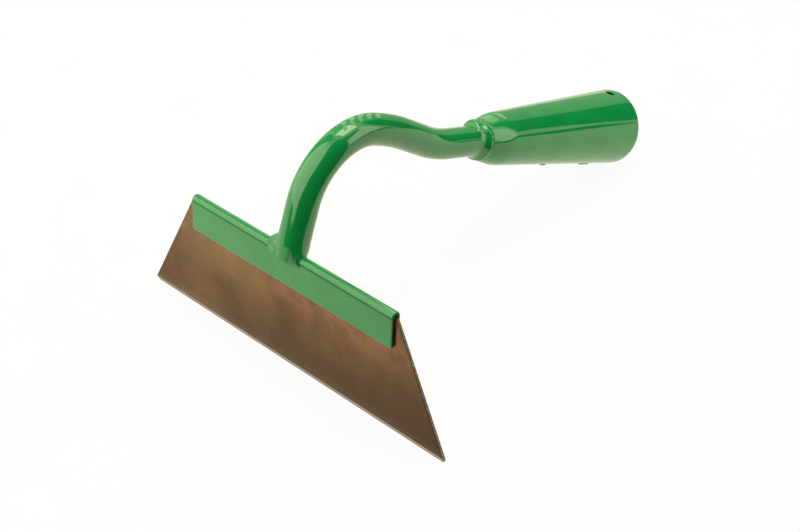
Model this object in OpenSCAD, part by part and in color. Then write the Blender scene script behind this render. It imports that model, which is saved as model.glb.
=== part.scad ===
// Draw hoe head: a trapezoid blade held in a folded clip, a swan neck and a tapered handle socket.
// The shape is laid out in the blade's own plane: X along the cutting edge, Y from the blade towards
// the handle, Z up the blade, with zero at the top middle of the fold. It is then stood on a level
// surface, on its cutting edge and the lower rim of the socket's mouth.

/* [Blade] */
// Width of the cutting edge between its corners, before they are rounded
edge_w = 200; // [170:1:230]
// Width of the blade at the level of the fold's top
blade_top_w = 131.4; // [124:0.2:150]
// Height from the fold's top down to the cutting edge
blade_h = 67.5; // [55:0.5:90]
// Thickness of the blade sheet
blade_t = 1.5; // [1:0.1:2.5]
// Height of the bevel ground on the front of the cutting edge
bevel_h = 3; // [1.5:0.1:6]
// Flat that the grinding leaves on the cutting edge
edge_land_t = 0.3; // [0.1:0.05:0.6]
// Radius of the blade's lower corners
corner_r = 2; // [0.5:0.1:5]

/* [Blade holder] */
// Length of the folded clip along the blade
holder_w = 132; // [100:1:150]
// Thickness of the clip's sheet
holder_t = 2; // [1.2:0.1:2.5]
// Height of the front flange from the fold's top
front_flange_h = 19; // [15:0.5:26]
// Height of the rear flange from the fold's top
rear_flange_h = 19; // [15:0.5:26]

/* [Spot welds] */
// Number of spot welds along the clip
spot_count = 4; // [2:1:6]
// Diameter of one spot weld
spot_d = 5; // [3:0.1:7]
// Depth of a spot weld into each flange
spot_depth = 0.7; // [0.3:0.05:1]
// Height of the spot welds below the fold's top
spot_drop = 11; // [9:0.5:12]

/* [Swan neck] */
// Diameter of the neck's round bar
neck_d = 15.5; // [12:0.1:18]
// Lean of the neck's foot towards the handle, in degrees
foot_lean = 18; // [10:0.5:26]
// Place of the neck's axis on the fold's top
foot_y = 0.3; // [-1:0.1:1]
// Straight rise of the neck from the fold's top
foot_rise = 23; // [16:0.5:35]
// Depth of the foot's two cheeks over the sides of the fold
saddle = 2; // [1:0.1:3]
// Radius of the arch
arch_r = 34; // [26:0.5:45]
// Turn of the arch, in degrees
arch_turn = 94; // [86:0.5:100]
// Radius of the easing bend after the arch
ease_r = 120; // [80:1:200]
// Turn of the easing bend, in degrees
ease_turn = 12; // [6:0.5:18]
// Straight run between the easing bend and the dip
dip_run = 17; // [8:0.5:30]
// Radius of the dip, which turns the neck into the socket's line
dip_r = 80; // [50:1:120]
// Turn of the dip, in degrees
dip_turn = 15.5; // [10:0.5:22]
// Straight tail from the dip to the socket's small end
tail = 24.3; // [16:0.1:40]
// Length of the neck inside the socket's collar
neck_seat = 8; // [5:0.5:11]

/* [Handle socket] */
// Length of the socket
socket_l = 123; // [110:1:150]
// Outer diameter at the mouth
mouth_d = 41.6; // [36:0.1:48]
// Outer diameter where the cone meets the shoulder
shoulder_d = 27.4; // [25:0.1:31]
// Outer diameter of the small end
end_d = 20.6; // [19.6:0.1:23]
// Length of the rounded shoulder
shoulder_l = 12; // [9:0.5:18]
// Thickness of the socket's sheet
socket_t = 2; // [1.2:0.1:2.5]
// Gap between the neck and the socket's collar
collar_gap = 0.15; // [0.05:0.05:0.3]

/* [Fixing hole] */
// Diameter of the hole for the handle's screw
hole_d = 5; // [3:0.1:8]
// Distance of the hole from the mouth
hole_inset = 8; // [6:0.5:30]

/* [Seam] */
// Width of the open seam along the socket
seam_gap = 0.6; // [0.3:0.1:1]
// Place of the seam around the socket, in degrees from its underside
seam_turn = 20; // [-45:1:45]
// Distance of the first tack weld from the small end
tack_1_at = 58; // [40:1:70]
// Straight length of the first tack weld, without its round ends
tack_1_run = 0.7; // [0.3:0.1:6]
// Distance of the second tack weld from the small end
tack_2_at = 98; // [80:1:105]
// Straight length of the second tack weld, without its round ends
tack_2_run = 5; // [0.3:0.1:8]
// Height of a tack weld above the socket
tack_h = 0.9; // [0.4:0.1:1.2]
// Radius of a tack weld's rounded top
tack_r = 2; // [1.5:0.1:3]

/* [Neck welds] */
// Radius of the weld beads at the neck's foot, in front of and behind the neck
foot_bead_r = 4.4; // [4.2:0.1:6]
// Radius of the beads at their ends
foot_bead_end_r = 2.8; // [1.5:0.1:4]
// Height of the beads' middle line below the fold's top
foot_bead_drop = 0.6; // [0:0.1:1.5]
// Reach of both beads to the left of the neck's axis
foot_bead_left = 14.5; // [13:0.5:20]
// Reach of the front bead to the right of the neck's axis
front_bead_right = 9.5; // [8:0.5:16]
// Reach of the rear bead to the right of the neck's axis
rear_bead_right = 6; // [5:0.5:16]
// Length of the ring weld along the neck
ring_l = 6.8; // [4:0.1:9]
// Fill of the ring weld's hollow slope, as a share of the step between the neck and the socket
ring_fill = 0.15; // [0.05:0.05:0.6]
// Place of the lump where the ring weld was begun and ended, in degrees from the socket's underside
lump_turn = 203; // [150:1:240]
// Share of the ring weld's length that the lump covers
lump_share = 0.9; // [0.5:0.05:0.95]

/* [Hidden] */
$fn = 96;

paint_green = "#1f9a4a";
weld_green = "#35a25a";
tempered_brown = "#75604c";
nugget_grey = "#8a8a88";

// Steps of the rounded corners, curves and foot beads, degrees of bend between the neck's rings,
// sides of the neck and of a bead, and the length by which a cut runs past what it cuts
corner_steps = 6;
curve_steps = 8;
bead_steps = 8;
bend_step = 4;
neck_sides = 40;
bead_sides = 32;
over = 1;

// Folded clip
fold_r = blade_t / 2 + holder_t;
spot_pitch = holder_w / spot_count;
spot_l = blade_t + 2 * spot_depth;

// Blade outline
side_slope = (edge_w - blade_top_w) / 2 / blade_h;
side_angle = atan(1 / side_slope);
blade_top_z = -fold_r;
blade_top_half = blade_top_w / 2 + fold_r * side_slope;
corner_x = edge_w / 2 - corner_r / tan(side_angle / 2);
corner_z = corner_r - blade_h;

// Neck, as points and headings in the plane of Y and Z
neck_r = neck_d / 2;
foot_dir = 90 - foot_lean;
arch_dir = foot_dir - arch_turn;
ease_dir = arch_dir - ease_turn;
socket_dir = ease_dir + dip_turn;
foot_at = [foot_y, 0];
rise_at = foot_at + foot_rise * heading(foot_dir);
arch_at = bend_end(rise_at, foot_dir, arch_r, -arch_turn);
ease_at = bend_end(arch_at, arch_dir, ease_r, -ease_turn);
run_at = ease_at + dip_run * heading(ease_dir);
dip_at = bend_end(run_at, ease_dir, dip_r, dip_turn);
socket_at = dip_at + tail * heading(socket_dir);
mouth_at = socket_at + socket_l * heading(socket_dir);
foot_tail = neck_d;
foot_cut_w = 4 * neck_d;
foot_start = foot_at - foot_tail * heading(foot_dir);
neck_stations = concat(
    [[foot_start, foot_dir], [rise_at, foot_dir]],
    bend_stations(rise_at, foot_dir, arch_r, -arch_turn),
    bend_stations(arch_at, arch_dir, ease_r, -ease_turn),
    [[run_at, ease_dir]],
    bend_stations(run_at, ease_dir, dip_r, dip_turn),
    [[socket_at + neck_seat * heading(socket_dir), socket_dir]]
);

// Socket profile
end_r = end_d / 2;
shoulder_r = shoulder_d / 2;
mouth_r = mouth_d / 2;
collar_r = neck_r + collar_gap;
collar_l = neck_seat / 2;
shoulder_slope = (shoulder_r - end_r) / shoulder_l;
taper = (mouth_r - shoulder_r) / (socket_l - shoulder_l);
blend_l = shoulder_l / 3;

// Standing on a level surface
edge_at = [blade_t / 2, -blade_h];
rim_at = mouth_at + mouth_r * heading(socket_dir - 90);
crown_at = mouth_at + mouth_r * heading(socket_dir + 90);
stand_lean = atan2(rim_at.y - edge_at.y, rim_at.x - edge_at.x);
bead_at = [-foot_bead_r, -foot_bead_drop];
cheek_at = [foot_y - saddle * tan(foot_lean) - neck_r / cos(foot_lean), -saddle];
front_y = min(turned(bead_at).x - foot_bead_r, turned(cheek_at).x);
back_y = turned(crown_at).x;

function heading(a) = [cos(a), sin(a)];
function bend_end(p, dir, r, turn) =
    p + r * sign(turn) * (heading(dir + 90) - heading(dir + turn + 90));
function bend_stations(p, dir, r, turn) =
    let (steps = ceil(abs(turn) / bend_step))
        [for (i = [1:steps]) let (t = turn * i / steps) [bend_end(p, dir, r, t), dir + t]];
function turned(p) = [
    p.x * cos(stand_lean) + p.y * sin(stand_lean),
    p.y * cos(stand_lean) - p.x * sin(stand_lean)
];
function curve(a, b, c, steps) = [
    for (i = [0:steps])
        let (t = i / steps)
            (1 - t) * (1 - t) * a + 2 * t * (1 - t) * b + t * t * c
];
function corner(x, z, r, from, to) = [
    for (i = [0:corner_steps])
        [x, z] + r * heading(from + (to - from) * i / corner_steps)
];

// Stands the head on the level surface, with the middle of its box over zero
module stand() {
    translate([0, -(front_y + back_y) / 2, -turned(edge_at).y])
        rotate([-stand_lean, 0, 0])
            children();
}

// Turns a drawing in Y and Z to its plane, with its thickness along X
module in_side_plane() {
    rotate([90, 0, 90])
        children();
}

module along_x(length) {
    in_side_plane()
        translate([0, 0, -length / 2])
            linear_extrude(length)
                children();
}

// Places an upright shape at a point of the side plane, with its axis along a heading
module aim(p, dir) {
    translate([0, p.x, p.y])
        rotate([dir - 90, 0, 0])
            children();
}

// A ring of points around the neck at one station, which is a point and a heading
function neck_ring(station) = [
    for (i = [0:neck_sides - 1])
        let (
            t = 360 * i / neck_sides,
            p = station[0] + neck_r * sin(t) * heading(station[1] + 90)
        )
            [neck_r * cos(t), p.x, p.y]
];

// The round bar, swept along its stations
module neck_sweep() {
    rings = len(neck_stations);
    points = [for (station = neck_stations) each neck_ring(station)];
    walls = [
        for (k = [0:rings - 2], i = [0:neck_sides - 1])
            let (a = k * neck_sides, b = a + neck_sides, j = (i + 1) % neck_sides)
                [a + i, a + j, b + j, b + i]
    ];
    first = [for (i = [neck_sides - 1:-1:0]) i];
    last = [for (i = [0:neck_sides - 1]) (rings - 1) * neck_sides + i];
    polyhedron(points, concat(walls, [first, last]));
}

// The clip's outer shape, which the neck's foot sits over
module fold_outline() {
    translate([0, -fold_r])
        circle(fold_r);
    translate([-fold_r, -front_flange_h])
        square([fold_r, front_flange_h - fold_r]);
    translate([0, -rear_flange_h])
        square([fold_r, rear_flange_h - fold_r]);
}

module fold_block() {
    along_x(holder_w)
        fold_outline();
}

module spots() {
    for (i = [0:spot_count - 1])
        translate([(i - (spot_count - 1) / 2) * spot_pitch, 0, -spot_drop])
            rotate([90, 0, 0])
                cylinder(h = spot_l, d = spot_d, center = true);
}

module blade_outline() {
    right = corner(corner_x, corner_z, corner_r, -90, 90 - side_angle);
    left = [for (i = [corner_steps:-1:0]) [-right[i].x, right[i].y]];
    polygon(concat([[-blade_top_half, blade_top_z]], left, right, [[blade_top_half, blade_top_z]]));
}

module bevel_cut() {
    ground_y = blade_t / 2 - edge_land_t;
    slope = (blade_t - edge_land_t) / bevel_h;
    along_x(edge_w + 2 * over)
        polygon([
            [ground_y + slope * over, -blade_h - over],
            [-blade_t / 2 - slope * over, -blade_h + bevel_h + over],
            [-blade_t / 2 - slope * over, -blade_h - over]
        ]);
}

module blade() {
    color(tempered_brown)
        stand()
            difference() {
                translate([0, blade_t / 2, 0])
                    rotate([90, 0, 0])
                        linear_extrude(blade_t)
                            blade_outline();
                bevel_cut();
                spots();
            }
}

module blade_holder() {
    slot_h = max(front_flange_h, rear_flange_h) + over;
    color(paint_green)
        stand()
            difference() {
                fold_block();
                along_x(holder_w + 2 * over) {
                    translate([0, -fold_r])
                        circle(blade_t / 2);
                    translate([-blade_t / 2, -slot_h])
                        square([blade_t, slot_h - fold_r]);
                }
                spots();
            }
}

module spot_welds() {
    color(nugget_grey)
        stand()
            spots();
}

// Everything below the cheeks of the neck's foot
module below_cheeks() {
    translate([0, 0, -saddle - foot_tail])
        cube([foot_cut_w, foot_cut_w, 2 * foot_tail], center = true);
}

// The straight foot of the neck, which the beads lie against
module neck_foot() {
    difference() {
        aim(foot_start, foot_dir)
            cylinder(h = foot_rise + foot_tail, r = neck_r);
        below_cheeks();
    }
}

module neck() {
    color(paint_green)
        stand()
            difference() {
                neck_sweep();
                fold_block();
                below_cheeks();
            }
}

// Everything on the far side of the fold's middle plane; side is -1 in front and 1 behind
module beyond_middle(side) {
    translate([0, -side * foot_cut_w / 2, 0])
        cube(foot_cut_w, center = true);
}

// A bead that bends around the foot of the neck; side is -1 in front and 1 behind
module foot_bead(side, right) {
    balls = [
        for (i = [0:bead_steps])
            let (
                turn = 180 * i / bead_steps,
                reach = (turn < 90 ? right : foot_bead_left) - foot_bead_end_r,
                r = foot_bead_end_r + (foot_bead_r - foot_bead_end_r) * sin(turn)
            )
                [[reach * cos(turn), side * foot_bead_r * sin(turn), -foot_bead_drop], r]
    ];
    color(weld_green)
        stand()
            difference() {
                for (i = [0:bead_steps - 1])
                    hull()
                        for (ball = [balls[i], balls[i + 1]])
                            translate(ball[0])
                                sphere(ball[1], $fn = bead_sides);
                beyond_middle(side);
                fold_block();
                neck_foot();
            }
}

module foot_weld_front() {
    foot_bead(-1, front_bead_right);
}

module foot_weld_rear() {
    foot_bead(1, rear_bead_right);
}

// Outer radius of the socket's cone at a distance from its small end
function cone_r(at) = shoulder_r + taper * (at - shoulder_l);

module socket_outside() {
    blend = curve(
        [shoulder_r - shoulder_slope * blend_l, shoulder_l - blend_l],
        [shoulder_r, shoulder_l],
        [cone_r(shoulder_l + blend_l), shoulder_l + blend_l],
        curve_steps
    );
    rotate_extrude()
        polygon(concat([[0, 0], [end_r, 0]], blend, [[mouth_r, socket_l], [0, socket_l]]));
}

module socket_cavity() {
    rotate_extrude()
        polygon([
            [0, -over],
            [collar_r, -over],
            [collar_r, collar_l],
            [shoulder_r - socket_t, shoulder_l + blend_l],
            [mouth_r - socket_t, socket_l],
            [mouth_r - socket_t, socket_l + over],
            [0, socket_l + over]
        ]);
}

module seam_slit() {
    rotate(90 - seam_turn)
        translate([0, -seam_gap / 2, -over])
            cube([mouth_d, seam_gap, socket_l + 2 * over]);
}

module socket_shell() {
    difference() {
        socket_outside();
        socket_cavity();
        seam_slit();
        translate([0, 0, socket_l - hole_inset])
            rotate([90, 0, 0])
                cylinder(h = mouth_d, d = hole_d);
    }
}

module handle_socket() {
    color(paint_green)
        stand()
            aim(socket_at, socket_dir)
                socket_shell();
}

module socket_weld() {
    hollow = [neck_r + ring_fill * (end_r - neck_r), -ring_l / 4];
    slope = curve([neck_r, -ring_l], hollow, [end_r, 0], curve_steps);
    color(weld_green)
        stand()
            aim(socket_at, socket_dir)
                difference() {
                    union() {
                        rotate_extrude()
                            polygon(concat([[0, -ring_l]], slope, [[0, 0]]));
                        rotate(90 - lump_turn)
                            translate([neck_r, 0, -ring_l / 2])
                                sphere(lump_share * ring_l / 2);
                    }
                    translate([0, 0, -ring_l - over])
                        cylinder(h = ring_l + 2 * over, r = neck_r);
                }
}

// A tack weld with round ends along the seam
module tack(at, run) {
    rotate(90 - seam_turn)
        translate([cone_r(at) + tack_h - tack_r, 0, at])
            rotate([0, atan(taper), 0]) {
                cylinder(h = run, r = tack_r, center = true);
                for (end = [-1, 1])
                    translate([0, 0, end * run / 2])
                        sphere(tack_r);
            }
}

module seam_welds() {
    color(weld_green)
        stand()
            aim(socket_at, socket_dir)
                difference() {
                    union() {
                        tack(tack_1_at, tack_1_run);
                        tack(tack_2_at, tack_2_run);
                    }
                    socket_shell();
                    socket_cavity();
                }
}

blade();
blade_holder();
spot_welds();
neck();
foot_weld_front();
foot_weld_rear();
handle_socket();
socket_weld();
seam_welds();
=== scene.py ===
import math

import bmesh
import bpy
from bpy.props import FloatProperty, FloatVectorProperty, PointerProperty
from mathutils import Matrix, Vector, noise


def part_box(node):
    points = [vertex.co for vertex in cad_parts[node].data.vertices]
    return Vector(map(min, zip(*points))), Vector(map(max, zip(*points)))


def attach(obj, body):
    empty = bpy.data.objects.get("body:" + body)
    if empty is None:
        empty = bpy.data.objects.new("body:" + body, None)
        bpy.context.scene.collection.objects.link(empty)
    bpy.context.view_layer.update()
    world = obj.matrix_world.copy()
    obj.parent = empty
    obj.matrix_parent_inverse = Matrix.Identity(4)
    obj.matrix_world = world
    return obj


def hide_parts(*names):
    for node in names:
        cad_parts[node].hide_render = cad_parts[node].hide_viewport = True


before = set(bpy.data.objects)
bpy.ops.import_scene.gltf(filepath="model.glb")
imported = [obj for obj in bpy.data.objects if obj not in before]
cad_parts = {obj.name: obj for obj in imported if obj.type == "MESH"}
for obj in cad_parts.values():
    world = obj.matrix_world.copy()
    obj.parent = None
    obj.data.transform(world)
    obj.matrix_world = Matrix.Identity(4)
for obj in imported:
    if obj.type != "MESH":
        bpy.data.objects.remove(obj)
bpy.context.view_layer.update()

bl_info = {
    "name": "Draw hoe head",
    "version": (1, 0, 0),
    "blender": (4, 5, 0),
    "location": "3D View > Sidebar > Draw hoe",
    "description": "Dresses a welded draw hoe head in green enamel and tempered steel",
    "category": "Object",
}

MM = 0.001
IMAGE_W = 800
SENSOR_W = 36.0
BEND_STEP = math.radians(2)
SHARP = math.radians(38)

# Points that the lights and screens face, and how far the softboxes stand from the head
HEAD_AT = Vector((0, -0.03, 0.09))
NECK_AT = Vector((0, -0.08, 0.1))
LAMP_DISTANCE = 1.3

# Corners of the larger screens: bearings and elevations in degrees
WING = ((-30, 47), (0, 44), (25, 35), (60, 50), (60, 84), (-30, 84))
RIGHT_SCREEN = (
    ((118, -25), (60, -25), (15, -14), (6, -4), (8, 4), (17, 24), (21, 35), (34, 45), (46, 59), (43, 80))
    + ((110, 80), (115, 63), (128, 50), (140, 46), (142, 38), (114, 35), (112, 24), (114, 5))
)
BACK_SCREEN = ((182, -3), (153, -3), (153, 8), (150, 7), (151, 26), (162, 44), (190, 46), (183, 28))

# Bearing behind the object where the window bars end
BARS_END = 188

# Where a foot bead goes over from a wide fillet to a narrow bead, as X over the neck's radius
FRONT_HUG = (0.5, 0.87)
REAR_HUG = (-0.9, -0.4)

# Shares of painted shade, drawn as dark matt enamel: on a cut edge, in a crease, at the lip of the hole and
# inside
CUT, CREASED, LIP, INSIDE = 0.6, 0.8, 0.9, 0.95


def length(mm, name, about):
    """A length property, given in millimetres and kept in metres."""
    return FloatProperty(name=name, description=about, default=mm * MM, unit="LENGTH", precision=5)


def angle(degrees, name, about):
    """An angle property, given in degrees and kept in radians."""
    return FloatProperty(name=name, description=about, default=math.radians(degrees), subtype="ANGLE")


def linear(*levels):
    """Linear colour of a display colour whose levels run from 0 to 255."""
    scaled = [value / 255 for value in levels]
    return tuple(s / 12.92 if s <= 0.04045 else ((s + 0.055) / 1.055) ** 2.4 for s in scaled)


def colour(red, green, blue, name, about):
    """A colour property, given as display levels from 0 to 255."""
    return FloatVectorProperty(
        name=name, description=about, default=linear(red, green, blue), subtype="COLOR", min=0, max=1
    )


def level(value, name, about):
    """A property for a brightness or a share."""
    return FloatProperty(name=name, description=about, default=value, min=0.0, subtype="FACTOR")


class BladeSizes(bpy.types.PropertyGroup):
    """Sizes of the trapezoid blade."""

    edge_w: length(200, "Edge width", "Width of the cutting edge before its corners are rounded")
    top_w: length(131.4, "Top width", "Width of the blade at the level of the fold's top")
    height: length(67.5, "Height", "Height from the fold's top down to the cutting edge")
    sheet: length(1.5, "Sheet", "Thickness of the blade")
    bevel_h: length(3, "Bevel height", "Height of the bevel ground on the front of the cutting edge")
    land: length(0.3, "Edge land", "Flat that the grinding leaves on the cutting edge")
    corner_r: length(2, "Corner radius", "Radius of the lower corners")
    burr: length(0.14, "Edge rounding", "Rounding of the sheared edges")
    pit_x: length(-13, "Pit place", "Place of one small dark pit along the blade")
    pit_rise: length(14.6, "Pit rise", "Height of the pit above the cutting edge")
    pit_r: length(0.75, "Pit radius", "Radius of the pit")


class HolderSizes(bpy.types.PropertyGroup):
    """Sizes of the folded clip that holds the blade."""

    width: length(132, "Width", "Length of the clip along the blade")
    sheet: length(2, "Sheet", "Thickness of the clip's sheet")
    flange_h: length(19, "Flange height", "Height of both flanges from the fold's top")
    edge_r: length(0.7, "Edge rounding", "Rounding that the paint gives the cut edges")
    # The crease is a line of painted shade along the fold, this wide on each side
    crease: length(0.2, "Crease", "Half width of the line of thick paint along the fold")


class NeckSizes(bpy.types.PropertyGroup):
    """Sizes and bends of the swan neck."""

    diameter: length(15.5, "Diameter", "Diameter of the round bar")
    foot_y: length(0.3, "Foot place", "Place of the neck's axis on the fold's top")
    foot_lean: angle(18, "Foot lean", "Lean of the neck's foot towards the handle")
    foot_rise: length(23, "Foot rise", "Straight rise from the fold's top")
    tuck: length(1, "Tuck", "Depth of the foot's left side into the top of the welds")
    saddle: length(0.5, "Saddle", "Depth of the foot's cheeks below the fold's top, under the welds")
    arch_r: length(34, "Arch radius", "Radius of the arch")
    arch_turn: angle(94, "Arch turn", "Turn of the arch")
    ease_r: length(120, "Easing radius", "Radius of the easing bend after the arch")
    ease_turn: angle(12, "Easing turn", "Turn of the easing bend")
    dip_run: length(17, "Dip run", "Straight run between the easing bend and the dip")
    dip_r: length(80, "Dip radius", "Radius of the dip")
    dip_turn: angle(15.5, "Dip turn", "Turn of the dip")
    tail: length(24.3, "Tail", "Straight tail from the dip to the socket's small end")
    seat: length(8, "Seat", "Length of the neck inside the socket's collar")


class SocketSizes(bpy.types.PropertyGroup):
    """Sizes of the tapered handle socket."""

    length: length(123, "Length", "Length of the socket")
    mouth_d: length(41.6, "Mouth diameter", "Outer diameter at the mouth")
    shoulder_d: length(27.4, "Shoulder diameter", "Outer diameter where the cone meets the shoulder")
    end_d: length(20.6, "End diameter", "Outer diameter of the small end")
    shoulder_l: length(12, "Shoulder length", "Length of the rounded shoulder")
    sheet: length(2, "Sheet", "Thickness of the socket's sheet")
    collar_gap: length(0.15, "Collar gap", "Gap between the neck and the socket's collar")
    rim_r: length(0.5, "Rim rounding", "Rounding of the mouth's rim")
    hole_d: length(5, "Hole diameter", "Diameter of the hole for the handle's screw")
    hole_inset: length(8, "Hole inset", "Distance of the hole from the mouth")
    seam_gap: length(0.6, "Seam gap", "Width of the open seam")
    seam_turn: angle(20, "Seam turn", "Place of the seam around the socket, from its underside")


class WeldSizes(bpy.types.PropertyGroup):
    """Sizes of the weld beads."""

    foot_left: length(14.4, "Foot left", "Reach of the foot's beads to the left of the neck's axis")
    front_right: length(10, "Front right", "Reach of the front bead to the right of the neck's axis")
    rear_right: length(6.5, "Rear right", "Reach of the rear bead to the right of the neck's axis")
    foot_run: length(7.8, "Foot run", "Reach of the foot's beads down the clip, from the fold's top")
    foot_mound: length(1.6, "Foot mound", "Fullness of the foot's beads at their left")
    foot_climb: length(7, "Foot climb", "Height of the foot's beads up the neck")
    foot_bulge: length(1, "Foot bulge", "Thickness of the foot's beads where they follow the neck closely")
    ring_l: length(6.8, "Ring length", "Length of the ring weld along the neck")
    lump_h: length(3.6, "Lump height", "Further swell where the ring weld was begun and ended")
    lump_turn: angle(203, "Lump turn", "Place of that lump around the socket, from its underside")
    lump_spread: angle(36, "Lump spread", "Half width of that lump")
    ripple_pitch: length(2.1, "Ripple pitch", "Distance between two ripples of a bead")
    ripple_h: length(0.012, "Ripple height", "Height of the ripples")
    rough_h: length(0.18, "Roughness", "Height of the beads' uneven lumps")
    tack_1_at: length(58, "First tack", "Distance of the first tack from the small end")
    tack_1_run: length(0.7, "First tack run", "Straight length of the first tack")
    tack_2_at: length(98, "Second tack", "Distance of the second tack from the small end")
    tack_2_run: length(5, "Second tack run", "Straight length of the second tack")
    tack_h: length(0.65, "Tack height", "Height of a tack above the socket")
    tack_w: length(3.3, "Tack width", "Width of a tack")


class FinishColours(bpy.types.PropertyGroup):
    """Colours of the finishes."""

    paint: colour(23, 151, 79, "Enamel", "Green enamel on the clip, the neck and the socket")
    paint_deep: colour(20, 143, 73, "Deep enamel", "Enamel where it lies thick")
    oxide: colour(126, 93, 66, "Tempered steel", "Brown oxide that tempering leaves on the blade")
    oxide_warm: colour(152, 108, 84, "Warm oxide", "Redder oxide near the clip")
    oxide_dark: colour(105, 75, 55, "Dark oxide", "Darker patches of the oxide")
    oxide_tip: colour(77, 56, 44, "Tip oxide", "Oxide along the edge and at the right tip")
    oxide_plum: colour(108, 80, 70, "Plum oxide", "Small patches with a purple tint")
    oxide_olive: colour(121, 98, 68, "Olive oxide", "Small patches with a green tint")
    oxide_pale: colour(160, 132, 92, "Pale oxide", "Pale patch at the blade's upper left")
    ground: colour(184, 161, 162, "Ground steel", "Bright steel of the ground bevel")
    sheared: colour(160, 138, 122, "Sheared steel", "Bare steel of the sheared edges")
    # Painted highlight: the glints of the sheared edges, put into their colour
    painted_glint: colour(206, 190, 178, "Glint", "Torn spots of the sheared edges that shine")
    nugget: colour(120, 118, 112, "Weld nugget", "Bare metal of the spot welds")
    # Painted shade: a dark colour for the gap between the clip and the blade, the socket's inside and hole,
    # the blade's edge lines and its pit
    crevice: colour(26, 30, 18, "Crevice", "Unpainted shade between the clip and the blade")
    # Painted shade: a dark green line along the fold's crease that stands for the shade there
    crease: colour(16, 92, 46, "Crease", "Paint that has gathered in a crease")


class StudioSettings(bpy.types.PropertyGroup):
    """Camera and light of the studio."""

    azimuth: angle(42.876, "Azimuth", "Camera's turn around the object, from straight in front")
    elevation: angle(37.762, "Elevation", "Camera's height above the horizon")
    roll: angle(0.039, "Roll", "Camera's roll")
    distance: length(800.64, "Distance", "Camera's distance from its target")
    target: FloatVectorProperty(
        name="Target",
        description="Point in the middle of the picture",
        default=(0, -48.9 * MM, 16.83 * MM),
        unit="LENGTH",
    )
    focal: FloatProperty(
        name="Focal length", description="Focal length in picture widths", default=1587.44 / IMAGE_W
    )
    floor_size: length(8000, "Floor size", "Width of the floor")
    floor: colour(226, 226, 224, "Floor", "Colour of the floor")
    warm: FloatVectorProperty(
        name="Warmth",
        description="Colour of the studio's light",
        default=(1, 0.98, 0.72),
        subtype="COLOR",
        min=0,
        max=1,
    )
    white: level(0.94, "Floor white", "Share of plain white in the floor as it is seen")
    fill: level(0.3, "Fill", "Light from all around")
    left_glow: level(1.05, "Left softbox", "Brightness of the large softbox at the left")
    wing_glow: level(2.0, "Left wing", "Brightness of the screen above the left softbox")
    top_glow: level(4.0, "Top softbox", "Brightness of the softbox above")
    ceiling_glow: level(8.5, "Ceiling softbox", "Brightness of the softbox straight above")
    back_glow: level(1.15, "Back softbox", "Brightness of the narrow softbox at the back")
    bar_glow: level(1.6, "Window bars", "Brightness of the bars of light behind the object")


class HoeHead(bpy.types.PropertyGroup):
    """All that a user can change on the draw hoe head."""

    blade: PointerProperty(type=BladeSizes)
    holder: PointerProperty(type=HolderSizes)
    neck: PointerProperty(type=NeckSizes)
    socket: PointerProperty(type=SocketSizes)
    welds: PointerProperty(type=WeldSizes)
    finish: PointerProperty(type=FinishColours)
    studio: PointerProperty(type=StudioSettings)


# Sums, directions and the side plane


def shares(steps):
    """Even shares from 0 to 1."""
    return [i / steps for i in range(steps + 1)]


def round_turns(sides):
    """Even turns of a full circle."""
    return [2 * math.pi * i / sides for i in range(sides)]


def curve(t, *points):
    """Point at a share of a curve from the first point to the last, which leans to the others."""
    while len(points) > 1:
        points = [a.lerp(b, t) for a, b in zip(points, points[1:])]
    return points[0]


def towards(bearing, elevation):
    """Direction from the object; the bearing starts in front and goes by +X."""
    flat = math.cos(elevation)
    return Vector((math.sin(bearing) * flat, -math.cos(bearing) * flat, math.sin(elevation)))


class Span:
    """What a softbox covers as seen from the head, in degrees."""

    def __init__(self, bearing, low, high, width):
        self.bearing = math.radians(bearing)
        self.elevation = math.radians((low + high) / 2)
        self.width, self.height = math.radians(width), math.radians(high - low)

    def size(self, distance):
        """Width and height that cover the span at a distance."""
        return tuple(2 * distance * math.tan(spread / 2) for spread in (self.width, self.height))

    def stand(self, distance):
        """Placed at a distance from the head, facing it."""
        away = towards(self.bearing, self.elevation)
        turn = away.to_track_quat("Z", "Y").to_matrix().to_4x4()
        return Matrix.Translation(HEAD_AT + away * distance) @ turn


def heading(turn):
    """Direction in the side plane."""
    return Vector((math.cos(turn), math.sin(turn)))


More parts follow.
